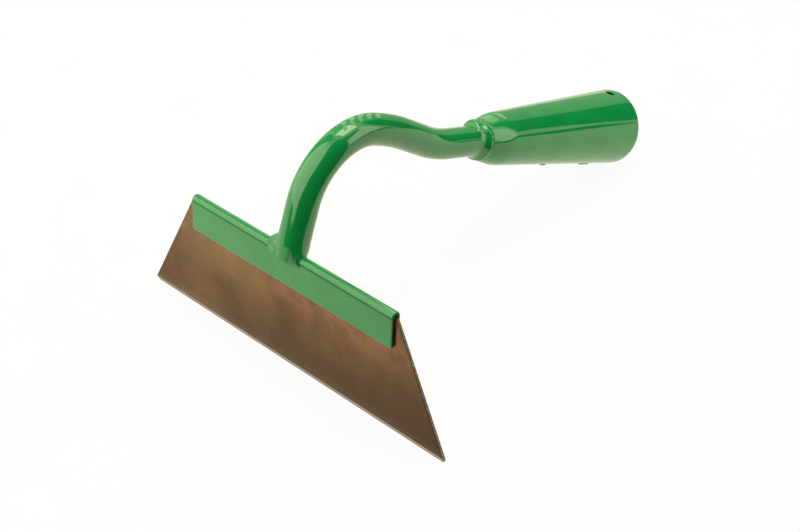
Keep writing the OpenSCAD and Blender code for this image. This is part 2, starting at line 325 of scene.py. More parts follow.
class SidePlane:
    """The hoe's middle plane: the neck's line, and how the head stands on its edge and rim."""

    def __init__(self, hoe):
        neck, socket, blade = hoe.neck, hoe.socket, hoe.blade
        self.fold_r = blade.sheet / 2 + hoe.holder.sheet
        self.at, self.turn = Vector((neck.foot_y, 0)), math.pi / 2 - neck.foot_lean
        self.stations = []
        self.run(neck.foot_rise)
        self.bend(neck.arch_r, -neck.arch_turn)
        self.bend(neck.ease_r, -neck.ease_turn)
        self.run(neck.dip_run)
        self.bend(neck.dip_r, neck.dip_turn)
        self.run(neck.tail)
        self.socket_at, self.socket_turn = self.at.copy(), self.turn
        self.run(neck.seat)
        mouth = self.socket_at + socket.length * heading(self.socket_turn)
        rim = mouth + socket.mouth_d / 2 * heading(self.socket_turn - math.pi / 2)
        crown = mouth + socket.mouth_d / 2 * heading(self.socket_turn + math.pi / 2)
        edge = Vector((blade.sheet / 2, -blade.height))
        self.lean = math.atan2(rim.y - edge.y, rim.x - edge.x)
        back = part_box("handle_socket")[1].y
        self.shift = Vector((back - self.turned(crown).x, -self.turned(edge).y))

    def run(self, distance):
        """Goes straight on."""
        self.at = self.at + distance * heading(self.turn)
        self.stations.append((self.at, self.turn))

    def bend(self, radius, turn):
        """Goes on in an arc, up for a positive turn."""
        side = math.copysign(math.pi / 2, turn)
        centre = self.at + radius * heading(self.turn + side)
        steps = math.ceil(abs(turn) / BEND_STEP)
        for i in range(1, steps + 1):
            now = self.turn + turn * i / steps
            self.stations.append((centre - radius * heading(now + side), now))
        self.at, self.turn = self.stations[-1]

    def turned(self, p):
        """A point of the layout turned by the head's lean."""
        c, s = math.cos(self.lean), math.sin(self.lean)
        return Vector((p.x * c + p.y * s, p.y * c - p.x * s))

    def place(self, x, p):
        """Row-frame point of a point of the layout."""
        q = self.turned(p) + self.shift
        return Vector((x, q.x, q.y))

    def around(self, station, radius, turn):
        """Point around a station's axis; the turn starts at +X and goes by the axis's upper side."""
        at, direction = station
        side = at + radius * math.sin(turn) * heading(direction + math.pi / 2)
        return self.place(radius * math.cos(turn), side)

    def on_socket(self, at, radius, turn):
        """Point around the socket's axis; the turn starts at the underside and goes by +X."""
        station = (self.socket_at + at * heading(self.socket_turn), self.socket_turn)
        return self.around(station, radius, turn - math.pi / 2)


def climb(welds, turn):
    """Height of the foot beads up the neck, half as high at its sides."""
    return welds.foot_climb * (1 + abs(math.sin(turn))) / 2


def hug(across, front):
    """How closely a foot bead follows the neck: 0 for a wide fillet, 1 for a narrow bead."""
    low, high = FRONT_HUG if front else REAR_HUG
    t = min(max((across - low) / (high - low), 0), 1)
    return t * t * (3 - 2 * t)


# Mesh building


class Skin:
    """Points and faces of one piece, with named values on its points."""

    def __init__(self):
        self.points, self.faces, self.values = [], [], {}

    def ring(self, points, **values):
        """Adds points and returns their numbers; each value is one number for all of them or a list."""
        first = len(self.points)
        self.points.extend(points)
        count = len(self.points) - first
        for name, value in values.items():
            listed = value if isinstance(value, list) else [value] * count
            self.values.setdefault(name, {}).update(zip(range(first, first + count), listed))
        return list(range(first, first + count))

    def bridge(self, a, b, closed=True):
        """Quads between two rows of points."""
        for i in range(len(a) if closed else len(a) - 1):
            j = (i + 1) % len(a)
            self.faces.append((a[i], a[j], b[j], b[i]))

    def stack(self, rows):
        """Quads between each closed row and the next."""
        for a, b in zip(rows, rows[1:]):
            self.bridge(a, b)

    def fan(self, ring, tip):
        """Triangles from a ring to one point."""
        for i in range(len(ring)):
            self.faces.append((ring[i], ring[(i + 1) % len(ring)], tip))

    def piece(self, name, node, slot, finish):
        """Puts the finished piece in the scene in place of a CAD node."""
        mesh = bpy.data.meshes.new(name)
        mesh.from_pydata(self.points, [], self.faces)
        for value, held in self.values.items():
            field = mesh.attributes.new(value, "FLOAT", "POINT")
            field.data.foreach_set("value", [held.get(i, 0.0) for i in range(len(self.points))])
        tidy = bmesh.new()
        tidy.from_mesh(mesh)
        bmesh.ops.recalc_face_normals(tidy, faces=tidy.faces)
        tidy.to_mesh(mesh)
        tidy.free()
        mesh.shade_smooth()
        mesh.set_sharp_from_angle(angle=SHARP)
        mesh.materials.append(finish.material)
        piece = bpy.data.objects.new(name, mesh)
        bpy.context.scene.collection.objects.link(piece)
        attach(piece, "root")
        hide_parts(node)


def ripple(point, size, seed):
    """Smooth noise from -1 to 1 with bumps of about a size."""
    return noise.noise(Vector(point) / size + Vector((seed, seed * 1.7, seed * 0.3)))


# Shader building


class Shade:
    """A shader value that can be used in Python expressions."""

    def __init__(self, finish, socket):
        self.finish, self.socket = finish, socket

    def math(self, operation, a, b):
        return self.finish.node("ShaderNodeMath", {"operation": operation}, {0: a, 1: b})

    def __add__(self, other):
        return self.math("ADD", self, other)

    def __radd__(self, other):
        return self.math("ADD", other, self)

    def __sub__(self, other):
        return self.math("SUBTRACT", self, other)

    def __rsub__(self, other):
        return self.math("SUBTRACT", other, self)

    def __mul__(self, other):
        return self.math("MULTIPLY", self, other)

    def __rmul__(self, other):
        return self.math("MULTIPLY", other, self)

    def at_least(self, other):
        return self.math("MAXIMUM", self, other)

    def between(self, low, high):
        """0 below low, 1 above high, smooth in between."""
        settings = {"interpolation_type": "SMOOTHSTEP"}
        inputs = {"Value": self, "From Min": low, "From Max": high}
        return self.finish.node("ShaderNodeMapRange", settings, inputs)


class Nodes:
    """The nodes of a material or of the world."""

    def __init__(self, tree):
        self.tree = tree

    def node(self, kind, settings, inputs, output=0):
        """A node's output; the settings are set first, then its sockets get values or links."""
        made = self.tree.nodes.new(kind)
        for name, value in settings.items():
            setattr(made, name, value)
        for key, value in inputs.items():
            self.feed(made.inputs[key], value)
        return Shade(self, made.outputs[output])

    def feed(self, socket, value):
        """Links a socket to a shade or sets it to a plain value."""
        if isinstance(value, Shade):
            self.tree.links.new(value.socket, socket)
        else:
            socket.default_value = value

    def ray(self, kind):
        """1 for one kind of ray and 0 for the others."""
        return self.node("ShaderNodeLightPath", {}, {}, f"Is {kind} Ray")

    def seen(self):
        """1 for what the eye, a reflection or a clear material looks at, and 0 for light on its way."""
        return self.ray("Camera").at_least(self.ray("Glossy")).at_least(self.ray("Transmission"))

    def mix(self, share, a, b):
        """Colour between a and b."""
        a, b = (value if isinstance(value, Shade) else (*value, 1) for value in (a, b))
        return self.node("ShaderNodeMix", {"data_type": "RGBA"}, {0: share, 6: a, 7: b}, 2)


class Finish(Nodes):
    """One material and its nodes."""

    def __init__(self, name):
        self.material = bpy.data.materials.new(name)
        self.material.use_nodes = True
        super().__init__(self.material.node_tree)
        self.surface = self.tree.nodes["Principled BSDF"]

    def set(self, **inputs):
        """Feeds the surface; an underscore in a name stands for a space."""
        for name, value in inputs.items():
            self.feed(self.surface.inputs[name.replace("_", " ")], value)
        return self

    def overlay(self, share, shader):
        """Lets another shader take over from the surface by a share."""
        under = Shade(self, self.surface.outputs[0])
        mixed = self.node("ShaderNodeMixShader", {}, {0: share, 1: under, 2: shader})
        self.feed(self.tree.nodes["Material Output"].inputs["Surface"], mixed)

    def value(self, name):
        """A named value of the mesh's points."""
        return self.node("ShaderNodeAttribute", {"attribute_name": name}, {}, "Fac")

    def place(self, stretch=(1, 1, 1)):
        """Place on the object, in millimetres, stretched along its axes."""
        where = self.node("ShaderNodeTexCoord", {}, {}, "Object")
        scale = tuple(s / MM for s in stretch)
        return self.node("ShaderNodeVectorMath", {"operation": "MULTIPLY"}, {0: where, 1: scale})

    def noise(self, where, size, detail=2.0, roughness=0.5):
        """Noise from 0 to 1 with bumps of about a size in millimetres."""
        inputs = {"Vector": where, "Scale": 1 / size, "Detail": detail, "Roughness": roughness}
        return self.node("ShaderNodeTexNoise", {"noise_dimensions": "3D"}, inputs, "Fac")

    def bump(self, height, depth, strength):
        """Normal of a height from 0 to 1 that is a depth in millimetres deep."""
        inputs = {"Height": height, "Distance": depth * MM, "Strength": strength}
        return self.node("ShaderNodeBump", {}, inputs, "Normal")


def enamel(name, colours, depth=0.03):
    """Green gloss enamel with a slight orange peel, whose depth is given in millimetres."""
    made = Finish(name)
    where = made.place()
    peel = made.noise(where, size=1.8)
    flow = made.noise(where, size=16.0)
    nibs = made.noise(where, size=0.45, detail=0.0).between(0.78, 0.84)
    made.set(
        Base_Color=made.mix(flow.between(0.3, 0.7), colours.paint_deep, colours.paint),
        Roughness=0.05 + flow * 0.03 + nibs * 0.25,
        Normal=made.bump(peel * 0.5 + flow * 0.5, depth, strength=0.3),
        IOR=1.72,
    )
    return made


def weld_enamel(name, colours, roughness):
    """Enamel over a weld, which shows the bead's grain."""
    made = enamel(name, colours, depth=0.08)
    grit = made.noise(made.place(), size=1.1)
    made.set(Roughness=roughness * (0.6 + grit * 0.8))
    return made


def creviced_enamel(name, colours):
    """Enamel that turns into dark matt painted shade in crevices, along the crease and inside the socket.
    """
    made = enamel(name, colours)
    crevice = made.value("crevice")
    shade = made.mix(crevice.between(CREASED, 1.0), colours.crease, colours.crevice)
    matt = {"Base Color": shade, "Roughness": 1, "IOR": 1.01}
    made.overlay(crevice, made.node("ShaderNodeBsdfPrincipled", {}, matt))
    return made


def tempered(name, colours, blade):
    """Brown tempered sheet, darker towards its edge and right tip, with a ground bevel and painted glints
    on its sheared edges.

    The blade's points say how far up and along they are, from 0 to 1 and from -1 to 1, and whether they lie
    on the front, on a sheared side or beside one.
    """
    made = Finish(name)
    where = made.place()
    grain = made.place(stretch=(0.12, 1, 1))
    up, along, front, side, rim = map(made.value, ("up", "along", "front", "side", "rim"))
    clouds = made.noise(where, size=30.0, detail=4.0, roughness=0.55)
    blotch = made.noise(where, size=11.0, detail=4.0, roughness=0.6)
    rust = made.noise(where, size=7.0, detail=3.0, roughness=0.6)
    streaks = made.noise(grain, size=0.7, detail=4.0, roughness=0.6)
    fine = made.noise(grain, size=0.16)

    # The oxide's patches and streaks
    tone = made.mix(clouds.between(0.38, 0.62), colours.oxide_dark, colours.oxide)
    tone = made.mix(rust.between(0.52, 0.72) * 0.5, tone, colours.oxide_plum)
    tone = made.mix((1 - blotch.between(0.3, 0.48)) * 0.35, tone, colours.oxide_olive)
    warm = up.between(0.4, 0.72) * (0.3 + blotch.between(0.4, 0.65) * 0.7)
    tone = made.mix(warm, tone, colours.oxide_warm)
    tone = made.mix(streaks.between(0.52, 0.75) * 0.35, tone, colours.oxide_dark)

    # A pale patch at the upper left, and a darker lower edge and right tip
    off = along + 0.5
    pale = up.between(0.3, 0.6) * (1 - off * off * 6).at_least(0) * 0.38
    tone = made.mix(pale, tone, colours.oxide_pale)
    low = (1 - up.between(0.1, 0.55)) * along.between(-0.8, 0.0) * 0.7
    tip = along.between(0.4, 1.0) * (0.85 - up * 0.6)
    tone = made.mix(low + tip - low * tip, tone, colours.oxide_tip)

    # One small pit in the steel, drawn as a dark spot of painted shade for its hollow, in pit radii from
    # its middle
    pit_along = along * (blade.edge_w / 2 / blade.pit_r) - blade.pit_x / blade.pit_r
    pit_up = up * (blade.height / blade.pit_r) - blade.pit_rise / blade.pit_r
    pit = 1 - (pit_along * pit_along + pit_up * pit_up).between(0.3, 1.2)
    tone = made.mix(pit * front * 0.8, tone, colours.crevice)

    # The ground bevel, darker in its lower part, and the sheared sides with painted glints
    bevel_up = up * (blade.height / blade.bevel_h) + (fine - 0.5) * 0.18
    ground = 1 - bevel_up.between(0.81, 0.945)
    bevel = made.mix(bevel_up.between(0.36, 0.54), colours.oxide_dark, colours.ground)
    tone = made.mix(ground, tone, bevel)
    # Painted glints: light spots on the sheared sides stand in for their highlights
    painted_glint = made.noise(where, size=1.1, detail=1.0).between(0.58, 0.66)
    tone = made.mix(side, tone, made.mix(painted_glint, colours.sheared, colours.painted_glint))
    # A thin dark line of painted shade runs beside the sheared sides, along the blade's edges
    tone = made.mix(rim * (1 - side), tone, colours.crevice)
    made.set(
        Base_Color=tone,
        Metallic=0.9 + ground.at_least(side) * 0.1,
        Roughness=0.36 + (clouds - 0.5) * 0.14 + (streaks - 0.5) * 0.16 + side * 0.25,
        Normal=made.bump(streaks * 0.6 + fine * 0.4, depth=0.03, strength=0.35),
    )
    return made


def nugget(name, colours):
    """Bare weld metal inside the clip."""
    made = Finish(name)
    grain = made.noise(made.place(), size=0.8, detail=3.0)
    made.set(
        Base_Color=made.mix(grain, colours.nugget, colours.sheared),
        Metallic=1.0,
        Roughness=0.4 + grain * 0.2,
        Normal=made.bump(grain, depth=0.05, strength=0.5),
    )
    return made


# Pieces


class HOE_OT_blade(bpy.types.Operator):
    """Adds the trapezoid blade with its ground bevel"""

    bl_idname = "hoe.blade"
    bl_label = "Blade"

    def execute(self, context):
        hoe = context.scene.hoe
        blade, plane = hoe.blade, SidePlane(hoe)
        slope = (blade.edge_w - blade.top_w) / 2 / blade.height
        lie = math.atan2(1, slope)
        corner_x = blade.edge_w / 2 - blade.corner_r / math.tan(lie / 2)
        corner_z = blade.corner_r - blade.height
        columns, level_steps, corner_steps, line = 26, 12, 8, 0.5 * MM
        bevel_z = blade.bevel_h - blade.height
        ground = (blade.sheet - blade.land) / blade.bevel_h

        def half_width(z):
            """Half the blade's width at a height."""
            tangent_z = corner_z - blade.corner_r * math.sin(lie - math.pi / 2)
            if z > tangent_z:
                return blade.top_w / 2 - slope * z
            return corner_x + math.sqrt(max(blade.corner_r**2 - (z - corner_z) ** 2, 0))

        levels = [-plane.fold_r + (bevel_z + plane.fold_r) * t for t in shares(level_steps)]
        levels += [corner_z - blade.corner_r * math.sin(math.pi / 2 * t) for t in shares(corner_steps)]
        skin, rows = Skin(), []
        for z in sorted(set(levels), reverse=True):
            front = -blade.sheet / 2 + max(bevel_z - z, 0) * ground
            back, half = blade.sheet / 2, half_width(z)
            burr = min(blade.burr, (back - front) / 3)
            inner = half - burr
            xs = [-inner, *((inner - line) * (2 * t - 1) for t in shares(columns - 2)), inner]
            ring = [(x, front) for x in xs] + [(half, front + burr), (half, back - burr)]
            ring += [(x, back) for x in reversed(xs)] + [(-half, back - burr), (-half, front + burr)]
            side = ([0.0] * (columns + 1) + [1.0, 1.0]) * 2
            points = [plane.place(x, Vector((y, z))) for x, y in ring]
            along = [2 * x / blade.edge_w for x, y in ring]
            # Points beside a sheared side carry a thin line of painted shade
            rim = [1.0 if abs(x) > inner - line / 2 else 0.0 for x, y in ring]
            face = [1.0] * (columns + 1) + [0.0] * (columns + 5)
            up = 1 + z / blade.height
            rows.append(skin.ring(points, side=side, rim=rim, up=up, along=along, front=face))
        skin.stack(rows)
        for row in (rows[0], rows[-1]):
            front, back = row[: columns + 1], row[columns + 3 : -2][::-1]
            skin.bridge(front, back, closed=False)
            skin.faces.append((front[-1], row[columns + 1], row[columns + 2], back[-1]))
            skin.faces.append((front[0], row[-1], row[-2], back[0]))
        made = tempered("Tempered steel", hoe.finish, blade)
        skin.piece("blade_sheet", "blade", "tempered_steel", made)
        return {"FINISHED"}


class HOE_OT_holder(bpy.types.Operator):
    """Adds the folded clip that holds the blade"""

    bl_idname = "hoe.holder"
    bl_label = "Blade holder"

    def execute(self, context):
        hoe = context.scene.hoe
        holder, plane = hoe.holder, SidePlane(hoe)
        fold_steps, edge_steps, flange_steps = 28, 4, 24
        middle = Vector((0, -plane.fold_r))
        quarter = [math.pi / 2 * t for t in shares(edge_steps)]

        def path(radius, inset, inward):
            """One side of the sheet from the front flange's edge over the fold to the rear one's."""
            soft = holder.edge_r - inset
            low = inset - holder.flange_h + soft
            half = []
            for turn in quarter:
                inside = inward * soft * (1 - math.sin(turn))
                half.append(Vector((inside - radius, low - soft * math.cos(turn))))
            for t in shares(flange_steps)[1:-1]:
                half.append(Vector((-radius, low + (middle.y - low) * t)))
            half.append(Vector((-radius, middle.y - holder.crease)))
            fold = [middle + radius * heading(math.pi * (1 - t)) for t in shares(fold_steps)]
            return half + fold + [Vector((-p.x, p.y)) for p in reversed(half)]

        skin, rows, ends = Skin(), [], []
        for turn in reversed(quarter):
            inset = holder.edge_r * (1 - math.cos(turn))
            ends.append((holder.edge_r * (1 - math.sin(turn)) - holder.width / 2, inset))
        for x, inset in ends + [(-x, inset) for x, inset in reversed(ends)]:
            outer = path(plane.fold_r - inset, inset, 1)
            inner = path(hoe.blade.sheet / 2 + inset, inset, -1)
            loop = outer + inner[::-1]
            # Painted shade: the clip's cut ends go dark, darkest inside, and so do its inner faces against
            # the blade
            at_tip = abs(x) > holder.width / 2 - holder.edge_r / 8
            dark = [CUT if at_tip else 0.0] * len(outer) + [CREASED if at_tip else INSIDE] * len(inner)
            # The rows at the fold's crease get painted shade
            start = edge_steps + flange_steps + 1
            for k in (start, start + 1, len(outer) - 1 - start, len(outer) - 2 - start):
                dark[k] = CREASED
            rows.append(skin.ring([plane.place(x, p) for p in loop], crevice=dark))
        skin.stack(rows)
        count = len(outer)
        for row in (rows[0], rows[-1]):
            skin.bridge(row[:count], row[count:][::-1], closed=False)
        made = creviced_enamel("Clip enamel", hoe.finish)
        skin.piece("blade_clip", "blade_holder", "green_paint", made)
        return {"FINISHED"}


class HOE_OT_spot_welds(bpy.types.Operator):
    """Gives the CAD model's spot welds between the clip and the blade a bare weld metal finish"""

    bl_idname = "hoe.spot_welds"
    bl_label = "Spot welds"

    def execute(self, context):
        made = nugget("Weld nugget", context.scene.hoe.finish)
        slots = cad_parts["spot_welds"].data.materials
        slots.clear()
        slots.append(made.material)
        return {"FINISHED"}


class HOE_OT_neck(bpy.types.Operator):
    """Adds the swan neck"""

    bl_idname = "hoe.neck"
    bl_label = "Swan neck"

    def execute(self, context):
        hoe = context.scene.hoe
        neck, plane = hoe.neck, SidePlane(hoe)
        radius, turns = neck.diameter / 2, round_turns(72)
        down = -heading(math.pi / 2 - neck.foot_lean)
        top, middle = plane.stations[0], Vector((0, -plane.fold_r))

        def foot(turn):
            """Point where the bar's wall meets the fold, the cheeks' level or the inside of a fillet."""
            start = top[0] + radius * math.sin(turn) * heading(top[1] + math.pi / 2)
            covered = climb(hoe.welds, turn) - neck.tuck + neck.saddle
            covered *= 1 - hug(math.cos(turn), math.sin(turn) > 0)
            reach = (covered - neck.saddle - start.y) / down.y
            to = start - middle
            along, away = to.dot(down), to.length_squared - plane.fold_r**2
            if along * along > away:
                reach = min(reach, -along - math.sqrt(along * along - away))
            return plane.place(radius * math.cos(turn), start + down * reach)

        skin = Skin()
        rows = [skin.ring([foot(turn) for turn in turns])]
        for station in plane.stations:
            rows.append(skin.ring([plane.around(station, radius, turn) for turn in turns]))
        skin.stack(rows)
        tips = skin.ring([plane.place(0, Vector((0, 0))), plane.place(0, plane.stations[-1][0])])
        skin.fan(rows[0], tips[0])
        skin.fan(rows[-1], tips[1])
        skin.piece("swan_neck", "neck", "green_paint", enamel("Neck enamel", hoe.finish))
        return {"FINISHED"}


class HOE_OT_foot_welds(bpy.types.Operator):
    """Adds the two beads that join the neck to the clip"""

    bl_idname = "hoe.foot_welds"
    bl_label = "Foot welds"

    def execute(self, context):
        hoe = context.scene.hoe
        made = weld_enamel("Foot weld enamel", hoe.finish, roughness=0.2)
        front = self.bead(hoe, -1, hoe.welds.front_right)
        front.piece("foot_weld_front_bead", "foot_weld_front", "painted_weld", made)
        rear = self.bead(hoe, 1, hoe.welds.rear_right)
        rear.piece("foot_weld_rear_bead", "foot_weld_rear", "painted_weld", made)
        return {"FINISHED"}

    def bead(self, hoe, side, right):
        """A bead from the left of the neck to its right, in front for side -1 and behind for side 1."""
        neck, welds, plane = hoe.neck, hoe.welds, SidePlane(hoe)
        radius, fold_r = neck.diameter / 2, plane.fold_r
        lean_y, lean_z = math.sin(neck.foot_lean), math.cos(neck.foot_lean)
        axis = Vector((0, lean_y, lean_z))
        middle, half = (right - welds.foot_left) / 2, (right + welds.foot_left) / 2
        stations, steps, end, closing = 60, 14, math.radians(170), 0.2
        lump_size, lump_share, seed = 3.4 * MM, 0.35, 3.0
        sink, seat_depth, thinning = 0.2 * MM, 0.8 * MM, 0.6
        near, far, knee_h, knee_bulge = 0.33, 0.67, 0.3 * welds.foot_climb, 0.4

        # Exponents that shape the bead's run down the clip, its outline and its mound
        left_curve, right_curve, squareness, mound_curve = 0.8, 0.25, 0.55, 0.7

        def outward(turn):
            """Direction away from the neck's axis; the turn starts at -X."""
            across = side * math.sin(turn)
            return Vector((-math.cos(turn), across * lean_z, -across * lean_y))

        def on_neck(turn, height, away):
            """Point at a height above the fold's top and a distance away from the neck's axis."""
            foot = Vector((0, neck.foot_y, 0)) + outward(turn) * away
            return foot + axis * (height - foot.z) / axis.z

        def on_clip(turn):
            """Point of the bead's edge on the clip, and the clip's normal there."""
            shape = left_curve if turn < math.pi / 2 else right_curve
            run = welds.foot_run * math.sin(turn) ** shape
            bend = min(run / fold_r, math.pi / 2)
            normal = Vector((0, side * math.sin(bend), math.cos(bend)))
            across = math.copysign(abs(math.cos(turn)) ** squareness, math.cos(turn))
            edge = Vector((middle - half * across, 0, -fold_r)) + fold_r * normal
            edge.z -= max(run - fold_r * math.pi / 2, 0)
            return edge, normal

        skin, rows = Skin(), []
        for i in range(stations):
            turn = end * i / stations
            close = max(i / stations - 1 + closing, 0) / closing
            shrink = math.sqrt(1 - close**2)
            bulge = welds.foot_bulge * (1 - thinning * max(-math.cos(turn), 0))
            mound = welds.foot_mound * max(math.cos(turn), 0) ** mound_curve
            mound += welds.ripple_h * math.cos(2 * math.pi * half * turn / welds.ripple_pitch)
            top = on_neck(turn, climb(welds, turn), radius - sink)
            edge, normal = on_clip(turn)
            rim = edge - sink * normal
            full = hug(-math.cos(turn), side < 0)
            knee = top.lerp(rim, near).lerp(on_neck(turn, knee_h, radius + knee_bulge * bulge), full)
            toe = top.lerp(rim, far).lerp(on_neck(turn, -knee_h, radius + bulge), full)
            seat = on_neck(turn, -fold_r / 2, radius - seat_depth)
            points = []
            for t in shares(steps):
                p = curve(t, top, knee, toe, rim)
                swell = mound + lump_share * welds.rough_h * ripple(p, lump_size, seed)
                p = p + (p - seat).normalized() * swell * math.sin(math.pi * t)
                points.append(seat + (p - seat) * shrink)
            rows.append(skin.ring([plane.place(p.x, p.yz) for p in points + [seat]]))
        skin.stack(rows)
        tip = skin.ring([plane.place(seat.x, seat.yz)])
        skin.fan(rows[-1], tip[0])
        for k in range(steps):
            skin.faces.append((rows[0][k], rows[0][k + 1], rows[0][-1]))
        return skin


class HOE_OT_socket(bpy.types.Operator):
    """Adds the tapered handle socket with its open seam and fixing hole"""

    bl_idname = "hoe.socket"
    bl_label = "Handle socket"

    def execute(self, context):
        hoe = context.scene.hoe
        socket, plane = hoe.socket, SidePlane(hoe)
        sides, cone_steps, curve_steps, rim_steps = 90, 12, 10, 4
        block, hole_steps = 3, 6
        end_r, shoulder_r, mouth_r = socket.end_d / 2, socket.shoulder_d / 2, socket.mouth_d / 2
        steep = (shoulder_r - end_r) / socket.shoulder_l
        taper = (mouth_r - shoulder_r) / (socket.length - socket.shoulder_l)
        blend = socket.shoulder_l / 3
        collar_r = hoe.neck.diameter / 2 + socket.collar_gap
        hole_at, hole_r = socket.length - socket.hole_inset, socket.hole_d / 2
        hole_half, lip_r = hole_r + 2 * MM, 0.35 * MM

        def cone(at):
            """Outer radius of the cone at a place along the axis."""
            return shoulder_r + taper * (at - socket.shoulder_l)

        def on_cone(start, end, steps):
            """Points of the profile on the cone between two places."""
            places = [start + (end - start) * t for t in shares(steps)]
            return [Vector((at, cone(at))) for at in places]

        def rounded(corner, a, b, radius):
            """Points of a rounded corner of the profile between its neighbours."""
            start, end = (corner + (p - corner).normalized() * radius for p in (a, b))
            return [curve(t, start, corner, end) for t in shares(rim_steps)]

        # Profile as places along the axis and radii, outside first and then back inside
        shoulder = Vector((socket.shoulder_l, shoulder_r))
        low = Vector((socket.shoulder_l - blend, shoulder_r - steep * blend))
        high = Vector((socket.shoulder_l + blend, cone(socket.shoulder_l + blend)))
        outside = [curve(t, low, shoulder, high) for t in shares(curve_steps)]
        near, far = hole_at - hole_half, hole_at + hole_half
        outside += on_cone(high.x, near, cone_steps)[1:-1]
        hole_row = len(outside)
        outside += on_cone(near, far, hole_steps)
        inside = [Vector((p.x, p.y - socket.sheet)) for p in outside[:curve_steps:-1]]
        collar = Vector((hoe.neck.seat / 2, collar_r))
        tip, base = Vector((0, end_r)), Vector((0, collar_r))
        lip, inlip = Vector((socket.length, mouth_r)), Vector((socket.length, mouth_r - socket.sheet))
        profile = rounded(tip, base, low, socket.rim_r) + outside
        first = len(profile) - len(outside) + hole_row
        profile += rounded(lip, outside[-1], inlip, socket.rim_r)
        profile += rounded(inlip, lip, inside[0], socket.rim_r)
        second = len(profile)
        profile += inside + [collar, base]

        def turn_of(share, radius):
            """Turn at a share of the way from one side of the seam around to the other."""
            gap = math.asin(socket.seam_gap / 2 / radius)
            return socket.seam_turn + gap + share * (2 * math.pi - 2 * gap)

        skin, rows = Skin(), []
        for p in profile:
            points = [plane.on_socket(p.x, p.y, turn_of(share, p.y)) for share in shares(sides)]
            # The socket's inside gets painted shade
            rows.append(skin.ring(points, crevice=0.0 if len(rows) < second else INSIDE))
        crown = round((math.pi - socket.seam_turn) / (2 * math.pi) * sides)
        left, right = crown - block, crown + block

        def pierced(row, column):
            """Whether a cell of the grid lies in the block around the hole."""
            on_row = first <= row < first + hole_steps or second <= row < second + hole_steps
            return on_row and left <= column < right

        for k in range(len(rows)):
            after = (k + 1) % len(rows)
            for i in range(sides):
                if not pierced(k, i):
                    skin.faces.append((rows[k][i], rows[k][i + 1], rows[after][i + 1], rows[after][i]))
        for i in (0, sides):
            self.seam(skin, [row[i] for row in rows], profile)

        def border(start):
            """Points around the block, and their places on the hole's circle."""
            rim = [(start, i) for i in range(left, right)]
            rim += [(k, right) for k in range(start, start + hole_steps)]
            rim += [(start + hole_steps, i) for i in range(right, left, -1)]
            rim += [(k, left) for k in range(start + hole_steps, start, -1)]
            turns = []
            for k, i in rim:
                p = profile[k]
                turns.append(math.atan2(p.y * math.sin(turn_of(i / sides, p.y) - math.pi), p.x - hole_at))
            return [rows[k][i] for k, i in rim], turns

        def circle(radius, turns, wall, crevice=0.0):
            """Ring of the hole, on a wall a depth below the cone's outside."""
            points = []
            for turn in turns:
                at, x = hole_at + radius * math.cos(turn), radius * math.sin(turn)
                outer = cone(at) - wall
                points.append(plane.on_socket(at, outer, math.pi + math.asin(x / outer)))
            return skin.ring(points, crevice=crevice)

        def in_order(ring, turns):
            """Points of a ring in the order of their turns."""
            return [point for turn, point in sorted(zip(turns, ring))]

        outer_rim, outer_turns = border(first)
        inner_rim, inner_turns = border(second)
        foot_of_lip = circle(hole_r + 2 * lip_r, outer_turns, 0)
        lip_top = circle(hole_r + 0.3 * lip_r, outer_turns, 0.3 * lip_r)
        # The hole's wall and its edge inside the socket get painted shade
        wall_top = circle(hole_r, outer_turns, lip_r, LIP)
        wall_end = circle(hole_r, outer_turns, socket.sheet - lip_r, INSIDE)
        skin.stack([outer_rim, foot_of_lip, lip_top, wall_top, wall_end])
        inner = circle(hole_r + lip_r, inner_turns, socket.sheet, INSIDE)
        skin.bridge(inner_rim, inner)
        skin.bridge(in_order(wall_end, outer_turns), in_order(inner, inner_turns))
        made = creviced_enamel("Socket enamel", hoe.finish)
        skin.piece("tapered_socket", "handle_socket", "green_paint", made)
        return {"FINISHED"}

    def seam(self, skin, edge, profile):
        """Faces of the sheet's edge along the seam, between the outside and the inside."""
        last = max(range(len(profile)), key=lambda k: profile[k].x)
        outer, inner = 0, len(profile) - 1
        while outer < last < inner:
            if profile[inner - 1].x < profile[outer + 1].x:
                skin.faces.append((edge[outer], edge[inner], edge[inner - 1]))
                inner -= 1
            else:
                skin.faces.append((edge[outer], edge[inner], edge[outer + 1]))
                outer += 1
        skin.faces.append(tuple(edge[outer : inner + 1]))


